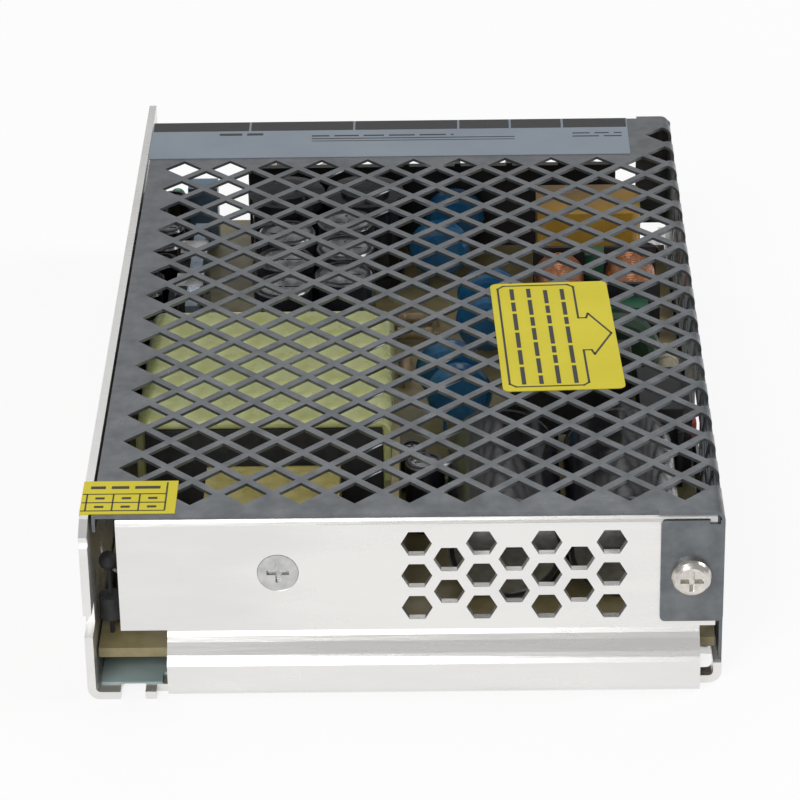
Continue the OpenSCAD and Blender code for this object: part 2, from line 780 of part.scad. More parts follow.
module disc_cap(r, t) {
    rotate([90, 0, 0]) rotate_extrude() polygon(concat([[0, -t / 2]],
        [[r - t * 0.45, -t / 2]], arc_pts([r - t / 2, 0], t / 2, -60, 60, 4),
        [[r - t * 0.45, t / 2], [0, t / 2]]));
}

blue_r = 5.6;
blue_pts = [[57, case_l - 17], [54.1, case_l - 30.6], [62.8, case_l - 50.4],
            [62.5, case_l - 60.4], [55.6, 80.6], [57.4, 71.8]];

module blue_capacitors() {
    color("steelblue") for (p = blue_pts)
        translate([xl + p[0], yn + p[1], bt]) {
            translate([0, 0, blue_r + 2.2]) disc_cap(blue_r, 4.4);
            for (s = [-1, 1]) translate([s * 2.5 - 0.3, -0.3, 0])
                cube([0.6, 0.6, 4]);
        }
}

// ---- Mains input side ----

module film_capacitor() {
    color("goldenrod") translate([0, yf - 33.3, bt]) linear_extrude(15.6)
        round_rect([xr - 25.2, 0], [xr - 6.5, 12.6], 1.6);
}

choke_x = xr - 15.3;
choke_y = yf - 51.4;
choke_l = 15.6;
coil_gap = 12.6;
coil_r = 4.4;
coil_z = bt + 9.4;
leg_r = 2.4;
turn_pitch = 0.9;

module choke_core() {
    w = coil_gap + 2 * leg_r;
    color("seagreen") {
        for (s = [-1, 1])
            translate([choke_x + s * coil_gap / 2, choke_y - choke_l / 2 - 3, coil_z])
                rotate([-90, 0, 0]) cylinder(r = leg_r, h = choke_l + 6);
        for (y = [choke_y - choke_l / 2 - 4.6, choke_y + choke_l / 2 + 1])
            block([choke_x - w / 2, y, coil_z - leg_r],
                [choke_x + w / 2, y + 3.6, coil_z + leg_r]);
    }
}

// One winding: a sleeve whose outside is rounded once for each turn.
module winding() {
    n = floor((choke_l - 2.4) / turn_pitch);
    ripple = [for (i = [0:n - 1], k = [0:3])
        [coil_r - 0.16 + 0.16 * sin(k * 45 + 22), (i + (k + 0.5) / 4) * turn_pitch]];
    rotate_extrude() polygon(concat([[leg_r + 0.6, 0], [coil_r - 0.2, 0]], ripple,
        [[coil_r - 0.2, n * turn_pitch], [leg_r + 0.6, n * turn_pitch]]));
}

module choke_windings() {
    n = floor((choke_l - 2.4) / turn_pitch);
    color("#b8693c") for (s = [-1, 1])
        translate([choke_x + s * coil_gap / 2, choke_y - n * turn_pitch / 2, coil_z])
            rotate([-90, 0, 0]) winding();
}

module choke_base() {
    color("#222226") {
        block([choke_x - 11, choke_y - choke_l / 2 - 4, bt],
            [choke_x + 11, choke_y + choke_l / 2 + 4, bt + 1.6]);
        for (s = [-1, 1]) difference() {
            union() for (y = [choke_y - choke_l / 2, choke_y + choke_l / 2 - 0.8])
                block([choke_x + s * coil_gap / 2 - 4.6, y, bt + 1.6 - e],
                    [choke_x + s * coil_gap / 2 + 4.6, y + 0.8, coil_z + 4.8]);
            translate([choke_x + s * coil_gap / 2, choke_y - choke_l, coil_z])
                rotate([-90, 0, 0]) cylinder(r = leg_r + 0.1, h = 2 * choke_l);
        }
        for (y = [choke_y - choke_l / 2 - 4, choke_y + choke_l / 2 + 1.6])
            block([choke_x - 3, y, bt + 1.6 - e], [choke_x + 3, y + 2.4,
                coil_z - leg_r]);
    }
}

fuse_x = xr - 3.7;
fuse_r = 1.9;
fuse_y = [window_y[1] + 2.5, window_y[1] + 22.5];

module line_fuse() {
    color("#d8cfae") translate([fuse_x, fuse_y[0], bt + 3.4]) rotate([-90, 0, 0]) {
        cylinder(r = fuse_r, h = fuse_y[1] - fuse_y[0]);
        cylinder(r = fuse_r + 0.25, h = 5);
        translate([0, 0, fuse_y[1] - fuse_y[0] - 5])
            cylinder(r = fuse_r + 0.25, h = 5);
    }
}

module fuse_clips() {
    color("lightgray") for (y = [fuse_y[0] + 1, fuse_y[1] - 4])
        difference() {
            block([fuse_x - 2.6, y, bt], [fuse_x + 2.6, y + 3, bt + 4.4]);
            translate([fuse_x, y - 1, bt + 3.4]) rotate([-90, 0, 0])
                cylinder(r = fuse_r + 0.25, h = 5);
            block([fuse_x - 1.7, y - 1, bt + 3.4], [fuse_x + 1.7, y + 4, bt + 7]);
        }
}

thermistor_r = 7.2;

module inrush_thermistor() {
    x = xr - 12.2;
    y = fuse_y[0] + 11.4;
    color("#20301f") {
        translate([x, y, bt + thermistor_r + 1.2]) disc_cap(thermistor_r, 4.6);
        for (s = [-1, 1]) translate([x + s * 3.6 - 0.4, y - 0.4, bt])
            cube([0.8, 0.8, 3]);
    }
}

module bridge_rectifier() {
    x = xr - 31;
    y = yn + 66.5;
    color("#1b1b1d") {
        block([x, y, bt + 2.4], [x + 20, y + 4.6, bt + 18]);
        for (i = [0:3]) block([x + 1.9 + i * 5.08, y + 1.8, bt],
            [x + 2.9 + i * 5.08, y + 2.8, bt + 2.4 + e]);
    }
}

bulk_y = yn + 17.6;
bulk_x = [xr - 32.7, xr - 14.1];

module bulk_capacitors() {
    color("#2c2c31") for (x = bulk_x) {
        translate([x, bulk_y + bulk_l, bt + bulk_r]) rotate([90, 0, 0])
            electrolytic(bulk_r, bulk_l);
        for (s = [-1, 1]) translate([x + s * 3.2 - 0.4, bulk_y + bulk_l - e, bt])
            cube([0.8, 0.8, bulk_r + 0.4]);
    }
}

// ---- Drive and control ----

control_x = bulk_x[0] - bulk_r - 8.8;
control_t = 1.2;
drive_w = 21;
// Midway between the left board screw and the control board.
drive_x = (xl + 11.1 + control_x - 1.6) / 2;
drive_y = yn + 24;

module drive_transformer() {
    color("#a79a3c") {
        along_x(drive_x - drive_w / 2, drive_x + drive_w / 2)
            translate([drive_y - 8.5, bt + 1.4]) round_rect([0, 0], [17, 15.6], 2.6);
        for (s = [-1, 1])
            block([drive_x - 8, drive_y + s * 6 - 1.2, bt],
                [drive_x + 8, drive_y + s * 6 + 1.2, bt + 1.4 + e]);
    }
}

module control_board() {
    x = control_x;
    color("#6f6a35") {
        block([x, yn + 18.6, bt], [x + control_t, yn + 49, bt + 15]);
        block([x - 1.6, yn + 22, bt + 5], [x + e, yn + 30, bt + 11]);
        block([x - 1.2, yn + 34, bt + 6], [x + e, yn + 38, bt + 10]);
    }
}

left_y = sink_y[0] + 31.6;
left_r = 3;
left_pitch = 7;
// As many as fit before the board screw at the far end of this side.
left_caps = floor((stand_pts[2][1] - stand_head_r - 0.4 - left_r - left_y)
    / left_pitch) + 1;
small_caps = concat([[xl + 5.6, yn + 14.4, 2.5, 9], [xl + 44, yn + 13.2, 3.2, 11],
    [xl + 49.5, yn + 53.5, 2.2, 8], [xl + 51.7, yn + 41, 3.2, 12],
    [xl + 4.7, yf - 13.8, 3, 11]],
    [for (i = [0:left_caps - 1]) [xl + 4.9, left_y + i * left_pitch, left_r, 13]],
    [for (i = [0:3]) [xl + 3.7, sink_y[0] + 5 + i * 6, 2.1, 14]]);

module signal_capacitors() {
    color("#26262a") for (p = small_caps) translate([p[0], p[1], bt])
        electrolytic(p[2], p[3]);
}

module bead_lead() {
    x = xl + 3.4;
    y = yn + 9;
    color("#37373a") {
        translate([x, y, bt]) cylinder(r = 0.35, h = 13);
        translate([x, y, bt + 3]) cylinder(r = 1.8, h = 3.8);
        translate([x, y, bt + 12.8]) sphere(1.5);
    }
}

axial_r = 1.2;
// Place, turn and body length of each small axial part.
axial_pts = [
    [xl + 31, trafo_y - trafo_l / 2 - 3.6, 0, 6.4],
    [xl + 15, trafo_y - trafo_l / 2 - 3.6, 0, 6.4],
    [bulk_x[0] - 5.6, bulk_y + bulk_l + 4.6, 0, 5.2],
    [bulk_x[0] - 5.2, bulk_y + bulk_l + 8.6, 0, 6.4],
    [xl + 48, out_y + 4, 90, 6.4],
    [xl + 52, out_y + 6, 90, 5.2],
    [xl + 49.6, out_y + 17, 0, 6.4],
    [xl + 49.6, out_y + 23, 0, 6.4],
    [xl + 17.2, out_y + 2, 90, 6.4],
    [xl + 17.2, out_y + 16, 90, 6.4],
    [xr - 24, fuse_y[0] + 3.4, 0, 7.4]];

// A resistor or diode lying on its two bent leads.
module axial_part(l) {
    lead = l / 2 + 1;
    up = axial_r + 0.5;
    translate([-l / 2, 0, up]) rotate([0, 90, 0]) rotate_extrude()
        polygon([[0, 0], [axial_r - 0.2, 0], [axial_r, 0.2], [axial_r, 1.3],
            [axial_r - 0.15, 1.6], [axial_r - 0.15, l - 1.6], [axial_r, l - 1.3],
            [axial_r, l - 0.2], [axial_r - 0.2, l], [0, l]]);
    for (s = [-1, 1]) {
        translate([s * lead, 0, 0]) cylinder(r = 0.3, h = up);
        translate([s * lead, 0, up]) sphere(0.3);
        translate([min(s * lead, s * (l / 2 - 0.4)), 0, up]) rotate([0, 90, 0])
            cylinder(r = 0.3, h = lead - l / 2 + 0.4);
    }
}

module axial_parts() {
    color("tan") for (p = axial_pts) translate([p[0], p[1], bt])
        rotate([0, 0, p[2]]) axial_part(p[3]);
}

// ---- Labels ----

label_t = 0.12;
module rating_label() {
    color("#8793a0") block([wall_in + 0.1, cover_y1 - 16, case_h],
        [xr - 8.1, cover_y1, case_h + label_t]);
}

module notice_sticker() {
    color("gold") translate([xr - 23.7, plate_y + 58.3, case_h])
        rotate([0, 0, 2.4]) linear_extrude(label_t)
            round_rect([-9.8, -19.4], [9.8, 19.4], 1.2);
}

module seal_sticker() {
    y0 = cover_y0 + 0.5;
    y1 = cover_y0 + 10.5;
    color("gold") {
        block([xl - label_t, y0, case_h], [xl + 14.3, y1, case_h + label_t]);
        block([xl - label_t, y0, case_h - 9], [xl, y1, case_h + e]);
    }
}

base_chassis();
mesh_cover();
circuit_board();
insulation_sheet();
board_standoffs();
board_screws();
cover_screw();
clamp_screw();
transistor_pad();
power_transistor();
clamp_bar();
terminal_block();
terminal_plates();
terminal_screws();
selector_body();
selector_slider();
trimmer_body();
trimmer_rotor();
status_led();
transformer_core();
transformer_tape();
transformer_bobbin();
sink_plate();
output_diodes();
diode_clips();
output_capacitors();
output_chokes();
blue_capacitors();
film_capacitor();
choke_core();
choke_windings();
choke_base();
line_fuse();
fuse_clips();
inrush_thermistor();
bridge_rectifier();
bulk_capacitors();
drive_transformer();
control_board();
signal_capacitors();
bead_lead();
axial_parts();
rating_label();
notice_sticker();
seal_sticker();
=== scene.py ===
import math
import random
import bmesh
import bpy
from mathutils import Matrix, Vector


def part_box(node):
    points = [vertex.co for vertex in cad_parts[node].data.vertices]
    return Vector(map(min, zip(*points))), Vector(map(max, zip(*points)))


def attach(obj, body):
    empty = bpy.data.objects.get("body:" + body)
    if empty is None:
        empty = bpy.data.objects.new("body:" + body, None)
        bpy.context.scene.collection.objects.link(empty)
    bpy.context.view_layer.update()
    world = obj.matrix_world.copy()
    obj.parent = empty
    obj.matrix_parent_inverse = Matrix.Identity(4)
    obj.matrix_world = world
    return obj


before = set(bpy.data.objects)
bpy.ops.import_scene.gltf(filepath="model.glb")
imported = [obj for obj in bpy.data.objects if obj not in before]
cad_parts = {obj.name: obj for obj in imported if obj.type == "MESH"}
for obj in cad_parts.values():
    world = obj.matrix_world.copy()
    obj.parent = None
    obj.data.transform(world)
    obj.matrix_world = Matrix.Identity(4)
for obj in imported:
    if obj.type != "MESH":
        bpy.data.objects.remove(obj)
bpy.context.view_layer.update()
body = "supply"
mm = 0.001

# Camera, floor and light: places in mm for the view, in metres for the lamps.
view = {"place": (7.83, -553.70, 303.10), "lens": 165.1, "sensor": 36.0,
        "down": 27.96, "turn": -0.94, "roll": -1.042, "clip": 0.01}


def makeCamera():
    down, turn, roll = (math.radians(view[k]) for k in ("down", "turn", "roll"))
    ahead = Vector((math.sin(turn) * math.cos(down),
                    math.cos(turn) * math.cos(down), -math.sin(down)))
    side = ahead.cross(Vector((0, 0, 1))).normalized()
    up = side.cross(ahead)
    right = side * math.cos(roll) + up * math.sin(roll)
    top = up * math.cos(roll) - side * math.sin(roll)
    data = bpy.data.cameras.new("camera")
    data.lens = view["lens"]
    data.sensor_width = view["sensor"]
    data.clip_start = view["clip"]
    camera = bpy.data.objects.new("camera", data)
    bpy.context.collection.objects.link(camera)
    turned = Matrix((right, top, -ahead)).transposed().to_4x4()
    camera.matrix_world = Matrix.Translation(Vector(view["place"]) * mm) @ turned
    bpy.context.scene.camera = camera


studio = {"floorSize": 6.0, "floorColour": (0.80, 0.80, 0.80),
          "floorRough": 0.9, "floorSheen": 0.1, "floorGlow": 1.05,
          "floorWhite": 0.8, "white": 1.0, "world": 0.42,
          "lamps": [  # place, aim, size, power
              ((-0.4, -1.0, 0.7), (0, 0, 0), 0.8, 6.5),
              ((1.0, 0.1, 0.85), (0, 0, 0), 0.6, 5.0),
              ((0.0, 0.8, 1.0), (0, 0, 0), 0.9, 2.0)]}


def calculate(tree, operation, first, second=None):
    # One Math node; each value is a socket or a plain number.
    node = tree.nodes.new("ShaderNodeMath")
    node.operation = operation
    for socket, value in zip(node.inputs, (first, second)):
        if isinstance(value, (int, float)):
            socket.default_value = value
        elif value is not None:
            tree.links.new(value, socket)
    return node.outputs[0]


def whiteForCamera(tree, shader, strength, share):
    # Camera, glossy and transmission rays see a white ground that keeps its shade.
    path = tree.nodes.new("ShaderNodeLightPath").outputs
    seen = calculate(tree, "MAXIMUM", path["Is Camera Ray"], path["Is Glossy Ray"])
    seen = calculate(tree, "MAXIMUM", seen, path["Is Transmission Ray"])
    glow = tree.nodes.new("ShaderNodeEmission")
    glow.inputs["Strength"].default_value = strength
    mix = tree.nodes.new("ShaderNodeMixShader")
    tree.links.new(calculate(tree, "MULTIPLY", seen, share), mix.inputs[0])
    tree.links.new(shader, mix.inputs[1])
    tree.links.new(glow.outputs[0], mix.inputs[2])
    return mix.outputs[0]


def makeWorld():
    world = bpy.data.worlds.new("studio")
    bpy.context.scene.world = world
    world.use_nodes = True
    tree = world.node_tree
    ground = tree.nodes["Background"]
    ground.inputs["Color"].default_value = (1, 1, 1, 1)
    ground.inputs["Strength"].default_value = studio["world"]
    bright = tree.nodes.new("ShaderNodeBackground")
    bright.inputs["Strength"].default_value = studio["white"]
    path = tree.nodes.new("ShaderNodeLightPath")
    mix = tree.nodes.new("ShaderNodeMixShader")
    tree.links.new(path.outputs["Is Camera Ray"], mix.inputs[0])
    tree.links.new(ground.outputs[0], mix.inputs[1])
    tree.links.new(bright.outputs[0], mix.inputs[2])
    tree.links.new(mix.outputs[0], tree.nodes["World Output"].inputs["Surface"])


def makeFloor():
    form = bmesh.new()
    bmesh.ops.create_grid(form, x_segments=1, y_segments=1, size=studio["floorSize"])
    mesh = bpy.data.meshes.new("floor")
    form.to_mesh(mesh)
    form.free()
    floor = bpy.data.objects.new("floor", mesh)
    bpy.context.collection.objects.link(floor)
    material = bpy.data.materials.new("floor")
    material.use_nodes = True
    tree = material.node_tree
    shader = tree.nodes["Principled BSDF"]
    shader.inputs["Base Color"].default_value = (*studio["floorColour"], 1)
    shader.inputs["Roughness"].default_value = studio["floorRough"]
    shader.inputs["Specular IOR Level"].default_value = studio["floorSheen"]
    surface = whiteForCamera(tree, shader.outputs[0], studio["floorGlow"],
                             studio["floorWhite"])
    tree.links.new(surface, tree.nodes["Material Output"].inputs["Surface"])
    mesh.materials.append(material)


def makeLamps():
    for i, (place, aim, size, power) in enumerate(studio["lamps"]):
        data = bpy.data.lights.new(f"softbox{i + 1}", "AREA")
        data.energy = power
        data.shape = "DISK"
        data.size = size
        lamp = bpy.data.objects.new(data.name, data)
        bpy.context.collection.objects.link(lamp)
        facing = (Vector(aim) - Vector(place)).to_track_quat("-Z", "Y")
        lamp.matrix_world = (Matrix.Translation(Vector(place))
                             @ facing.to_matrix().to_4x4())


bpy.context.scene.view_settings.view_transform = "Standard"
makeCamera()
makeWorld()
makeFloor()
makeLamps()
print("camera, floor and lamps are in place")


def noise(tree, coords, scale, detail=4.0, stretch=(1, 1, 1), rough=0.55):
    turn = tree.nodes.new("ShaderNodeMapping")
    turn.inputs["Scale"].default_value = stretch
    tree.links.new(coords, turn.inputs["Vector"])
    pattern = tree.nodes.new("ShaderNodeTexNoise")
    pattern.inputs["Scale"].default_value = scale
    pattern.inputs["Detail"].default_value = detail
    pattern.inputs["Roughness"].default_value = rough
    tree.links.new(turn.outputs[0], pattern.inputs["Vector"])
    return pattern.outputs["Fac"]


def spread(tree, source, low, high, outLow, outHigh):
    span = tree.nodes.new("ShaderNodeMapRange")
    for name, value in (("From Min", low), ("From Max", high),
                        ("To Min", outLow), ("To Max", outHigh)):
        span.inputs[name].default_value = value
    tree.links.new(source, span.inputs["Value"])
    return span.outputs["Result"]


def blendColour(tree, factor, first, second):
    # first and second are colours or sockets.
    mix = tree.nodes.new("ShaderNodeMix")
    mix.data_type = "RGBA"
    tree.links.new(factor, mix.inputs["Factor"])
    for socket, value in ((mix.inputs[6], first), (mix.inputs[7], second)):
        if isinstance(value, tuple):
            socket.default_value = (*value, 1)
        else:
            tree.links.new(value, socket)
    return mix.outputs[2]


usual = {"patch": 12, "stretch": (1, 1, 1), "rough": (0.4, 0.5), "metal": 0.0,
         "coat": 0.0, "coatRough": 0.15, "specular": 0.5, "grain": 0.5,
         "grainStretch": (1, 1, 1), "grainDepth": 0.0, "grainHeight": 0.2}


def makeFinish(name, given):
    # patch, grain and grainHeight are in mm; rough is its lowest and highest value.
    look = {**usual, **given}
    material = bpy.data.materials.new(name)
    material.use_nodes = True
    tree = material.node_tree
    shader = tree.nodes["Principled BSDF"]
    coords = tree.nodes.new("ShaderNodeTexCoord").outputs["Object"]
    patch = noise(tree, coords, 1 / (look["patch"] * mm), 5.0, look["stretch"])
    factor = spread(tree, patch, 0.35, 0.65, 0.0, 1.0)
    colour = blendColour(tree, factor, look["colour"], look["second"])
    tree.links.new(colour, shader.inputs["Base Color"])
    tree.links.new(spread(tree, patch, 0.3, 0.7, *look["rough"]),
                   shader.inputs["Roughness"])
    for socket, key in (("Metallic", "metal"), ("Coat Weight", "coat"),
                        ("Coat Roughness", "coatRough"),
                        ("Specular IOR Level", "specular")):
        shader.inputs[socket].default_value = look[key]
    if look["grainDepth"]:
        grain = noise(tree, coords, 1 / (look["grain"] * mm), 3.0,
                      look["grainStretch"])
        bump = tree.nodes.new("ShaderNodeBump")
        bump.inputs["Strength"].default_value = look["grainDepth"]
        bump.inputs["Distance"].default_value = look["grainHeight"] * mm
        tree.links.new(grain, bump.inputs["Height"])
        tree.links.new(bump.outputs[0], shader.inputs["Normal"])
    return material


finishes = {
    "chassis": {"colour": (0.86, 0.85, 0.83), "second": (0.79, 0.785, 0.77),
                "patch": 9, "stretch": (0.25, 1, 1), "rough": (0.24, 0.36),
                "metal": 0.8, "grain": 0.5, "grainDepth": 0.1,
                "grainStretch": (0.08, 1, 1)},
    "cover": {"colour": (0.19, 0.20, 0.212), "second": (0.13, 0.14, 0.15),
              "patch": 4, "rough": (0.26, 0.42), "metal": 0.7,
              "grain": 0.35, "grainDepth": 0.18},
    "resistor": {"colour": (0.36, 0.24, 0.12), "second": (0.42, 0.31, 0.18),
                 "patch": 2, "rough": (0.3, 0.45), "coat": 0.3},
    "ink": {"colour": (0.012, 0.012, 0.013), "second": (0.022, 0.022, 0.024),
            "patch": 3, "rough": (0.35, 0.5)},
    "board": {"colour": (0.36, 0.30, 0.15), "second": (0.25, 0.21, 0.10),
              "patch": 4, "rough": (0.35, 0.5), "coat": 0.2,
              "grain": 0.4, "grainDepth": 0.1},
    "film": {"colour": (0.40, 0.50, 0.49), "second": (0.30, 0.40, 0.40),
             "patch": 10, "rough": (0.12, 0.25), "grainDepth": 0.1, "grain": 4},
    "zinc": {"colour": (0.62, 0.62, 0.61), "second": (0.50, 0.50, 0.49),
             "patch": 1.5, "rough": (0.22, 0.38), "metal": 1.0},
    "nickel": {"colour": (0.74, 0.71, 0.66), "second": (0.58, 0.55, 0.51),
               "patch": 1.2, "rough": (0.16, 0.3), "metal": 1.0},
    "blackPlastic": {"colour": (0.018, 0.018, 0.020), "second": (0.028, 0.028, 0.030),
                     "patch": 6, "rough": (0.35, 0.5), "grain": 0.25,
                     "grainDepth": 0.12},
    "epoxy": {"colour": (0.02, 0.02, 0.022), "second": (0.035, 0.035, 0.037),
              "patch": 3, "rough": (0.4, 0.6), "grain": 0.2, "grainDepth": 0.2},
    "pad": {"colour": (0.30, 0.31, 0.32), "second": (0.25, 0.26, 0.27),
            "patch": 3, "rough": (0.6, 0.75), "grain": 0.3, "grainDepth": 0.2},
    "redKnob": {"colour": (0.40, 0.05, 0.03), "second": (0.34, 0.04, 0.03),
                "patch": 2, "rough": (0.4, 0.5), "grain": 0.3, "grainDepth": 0.1},
    "trimBlue": {"colour": (0.22, 0.34, 0.50), "second": (0.18, 0.29, 0.44),
                 "patch": 3, "rough": (0.3, 0.4)},
    "trimWhite": {"colour": (0.72, 0.74, 0.76), "second": (0.64, 0.66, 0.69),
                  "patch": 3, "rough": (0.35, 0.5)},
    "led": {"colour": (0.02, 0.30, 0.16), "second": (0.03, 0.36, 0.20),
            "patch": 2, "rough": (0.08, 0.16), "coat": 0.6},
    "tape": {"colour": (0.62, 0.66, 0.25), "second": (0.72, 0.76, 0.36),
             "patch": 5, "rough": (0.2, 0.34), "coat": 0.5, "grain": 3,
             "grainDepth": 0.35},
    "ferrite": {"colour": (0.03, 0.03, 0.033), "second": (0.05, 0.05, 0.053),
                "patch": 2, "rough": (0.5, 0.7), "grain": 0.3, "grainDepth": 0.3},
    "sink": {"colour": (0.40, 0.47, 0.56), "second": (0.34, 0.41, 0.50),
             "patch": 4, "stretch": (1, 1, 0.2), "rough": (0.25, 0.4), "metal": 0.7},
    "sleeve": {"colour": (0.015, 0.015, 0.020), "second": (0.022, 0.022, 0.028),
               "patch": 4, "rough": (0.12, 0.28), "coat": 0.4, "grain": 2.5,
               "grainDepth": 0.3},
    "blueDip": {"colour": (0.012, 0.10, 0.24), "second": (0.02, 0.15, 0.32),
                "patch": 3, "rough": (0.18, 0.3), "coat": 0.5, "grain": 2,
                "grainDepth": 0.25},
    "amber": {"colour": (0.52, 0.28, 0.04), "second": (0.60, 0.35, 0.06),
              "patch": 5, "rough": (0.28, 0.4), "coat": 0.3},
    "coreGreen": {"colour": (0.03, 0.14, 0.08), "second": (0.05, 0.18, 0.10),
                  "patch": 2, "rough": (0.35, 0.5), "grain": 0.5,
                  "grainDepth": 0.2},
    "copper": {"colour": (0.55, 0.20, 0.08), "second": (0.66, 0.28, 0.13),
               "patch": 1.5, "rough": (0.18, 0.3), "metal": 0.8, "coat": 0.4},
    "fuse": {"colour": (0.66, 0.60, 0.45), "second": (0.60, 0.54, 0.40),
             "patch": 3, "rough": (0.3, 0.4)},
    "disc": {"colour": (0.03, 0.07, 0.04), "second": (0.04, 0.09, 0.05),
             "patch": 2, "rough": (0.3, 0.45), "grain": 0.6, "grainDepth": 0.3},
    # the drive transformer's yellow tape, darkened to olive: painted shade, because it
    # sits lower and in shadow
    "tapeInPaintedShade": {"colour": (0.36, 0.30, 0.05), "second": (0.44, 0.38, 0.09),
              "patch": 3, "rough": (0.22, 0.35), "coat": 0.4, "grain": 1.5,
              "grainDepth": 0.3},
    "label": {"colour": (0.235, 0.275, 0.325), "second": (0.205, 0.245, 0.295),
              "patch": 15, "rough": (0.3, 0.4)},
    "yellow": {"colour": (0.70, 0.60, 0.008), "second": (0.66, 0.56, 0.008),
               "patch": 12, "rough": (0.42, 0.52)},
}
made = {name: makeFinish(name, look) for name, look in finishes.items()}


canTop = {"dark": (0.30, 0.305, 0.32), "light": (0.45, 0.455, 0.47),
          "patch": 1.2, "metal": 0.75, "heights": (0.50, 0.46),
          "depths": (0.1, 0.2)}


def bareTops(name, along):
    # The sleeve stops at the rim: the scored metal lies 0.35 mm below it.
    # An upright can stands at 0.6 mm past a whole one, so its metal is at 0.25.
    material = made["sleeve"].copy()
    material.name = name
    made[name] = material
    tree = material.node_tree
    shader = tree.nodes["Principled BSDF"]
    coords = tree.nodes.new("ShaderNodeTexCoord").outputs
    parted = []
    for source in ("Normal", "Object"):
        node = tree.nodes.new("ShaderNodeSeparateXYZ")
        tree.links.new(coords[source], node.inputs[0])
        parted.append(node.outputs[along])
    if along == "Z":
        outward = spread(tree, parted[0], 0.6, 0.8, 0.0, 1.0)
        height = calculate(tree, "MULTIPLY", parted[1], 1 / mm)
        height = calculate(tree, "FRACT", height)
        sunk = spread(tree, height, *canTop["heights"], 0.0, 1.0)
    else:
        outward = spread(tree, parted[0], -0.6, -0.8, 0.0, 1.0)
        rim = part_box("bulk_capacitors")[0][1]
        low, high = (rim + depth * mm for depth in canTop["depths"])
        sunk = spread(tree, parted[1], low, high, 0.0, 1.0)
    bare = calculate(tree, "MULTIPLY", outward, sunk)
    sleeveColour = shader.inputs["Base Color"].links[0].from_socket
    worn = noise(tree, coords["Object"], 1 / (canTop["patch"] * mm), 4.0)
    metal = blendColour(tree, spread(tree, worn, 0.35, 0.65, 0.0, 1.0),
                        canTop["dark"], canTop["light"])
    tree.links.new(blendColour(tree, bare, sleeveColour, metal),
                   shader.inputs["Base Color"])
    tree.links.new(spread(tree, bare, 0.0, 1.0, 0.0, canTop["metal"]),
                   shader.inputs["Metallic"])


bareTops("uprightCan", "Z")
bareTops("lyingCan", "Y")

nodeFinish = {
    "base_chassis": "chassis", "mesh_cover": "cover", "circuit_board": "board",
    "insulation_sheet": "film", "board_standoffs": "zinc", "board_screws": "zinc",
    "cover_screw": "nickel", "clamp_screw": "zinc", "transistor_pad": "pad",
    "power_transistor": "epoxy", "clamp_bar": "zinc",
    "terminal_block": "blackPlastic", "terminal_plates": "nickel",
    "terminal_screws": "nickel", "selector_body": "blackPlastic",
    "selector_slider": "redKnob", "trimmer_body": "trimBlue",
    "trimmer_rotor": "trimWhite", "status_led": "led",
    "transformer_core": "ferrite", "transformer_tape": "tape",
    "transformer_bobbin": "blackPlastic", "sink_plate": "sink",
    "output_diodes": "epoxy", "diode_clips": "zinc",
    "output_capacitors": "uprightCan", "output_chokes": "sleeve",
    "blue_capacitors": "blueDip", "film_capacitor": "amber",
    "choke_core": "coreGreen", "choke_windings": "copper",
    "choke_base": "blackPlastic", "line_fuse": "fuse", "fuse_clips": "nickel",
    "inrush_thermistor": "disc", "bridge_rectifier": "epoxy",
    "bulk_capacitors": "lyingCan", "drive_transformer": "tapeInPaintedShade",
    "control_board": "board", "signal_capacitors": "uprightCan",
    "bead_lead": "ferrite", "axial_parts": "resistor", "rating_label": "label",
    "notice_sticker": "yellow", "seal_sticker": "yellow"}
for node, finish in nodeFinish.items():
    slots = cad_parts[node].data.materials
    slots.clear()
    slots.append(made[finish])
print("finishes are on the metal, the board and its parts")


# Width in mm, segments and the sharpest angle left alone, for each softened node.
softEdges = {"mesh_cover": (0.13, 1, 35), "base_chassis": (0.12, 2, 40),
             "output_capacitors": (0.15, 2, 40), "transformer_tape": (0.5, 3, 40),
             "film_capacitor": (0.8, 3, 40), "bridge_rectifier": (0.4, 2, 40),
             "terminal_block": (0.15, 2, 40), "selector_body": (0.2, 2, 40)}
weldGap = 0.002
for node, (width, segments, corner) in softEdges.items():
    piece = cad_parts[node]
    weld = piece.modifiers.new("weld", "WELD")
    weld.merge_threshold = weldGap * mm
    soft = piece.modifiers.new("bevel", "BEVEL")
    soft.width = width * mm
    soft.segments = segments
    soft.limit_method = "ANGLE"
    soft.angle_limit = math.radians(corner)
print("edges are softened")

printLift = 0.03  # thickness of the print, in mm
words = {"low": 2.2, "high": 6.4, "gap": 0.9}  # length of the plain bars


def addBox(form, centre, size, turn):
    # A box of print; centre and size in mm.
    bmesh.ops.create_cube(form, size=1, matrix=Matrix.Translation(Vector(centre) * mm)
                          @ turn @ Matrix.Diagonal((*(v * mm for v in size), 1)))


def addBar(form, low, high, base):
    # A flat bar from corner low to corner high, lying on the height base.
    addBox(form, ((low[0] + high[0]) / 2, (low[1] + high[1]) / 2, base + printLift / 2),
           (abs(high[0] - low[0]), abs(high[1] - low[1]), printLift), Matrix())


def addStroke(form, start, end, width, base):
    # A straight line between two points.
    start, end = Vector(start), Vector(end)
    middle = (start + end) / 2
    turn = Matrix.Rotation(math.atan2(end.y - start.y, end.x - start.x), 4, "Z")
    addBox(form, (middle.x, middle.y, base + printLift / 2),
           ((end - start).length + width, width, printLift), turn)


def addWords(form, start, length, width, alongY, base, seed):
    # A line of plain bars and gaps, as long as words are.
    dice = random.Random(seed)
    at = 0.0
    while at < length:
        step = min(dice.uniform(words["low"], words["high"]), length - at)
        if alongY:
            low = (start[0] - width / 2, start[1] + at)
            high = (start[0] + width / 2, start[1] + at + step)
        else:
            low = (start[0] + at, start[1] - width / 2)
            high = (start[0] + at + step, start[1] + width / 2)
        addBar(form, low, high, base)
        at += step + words["gap"]


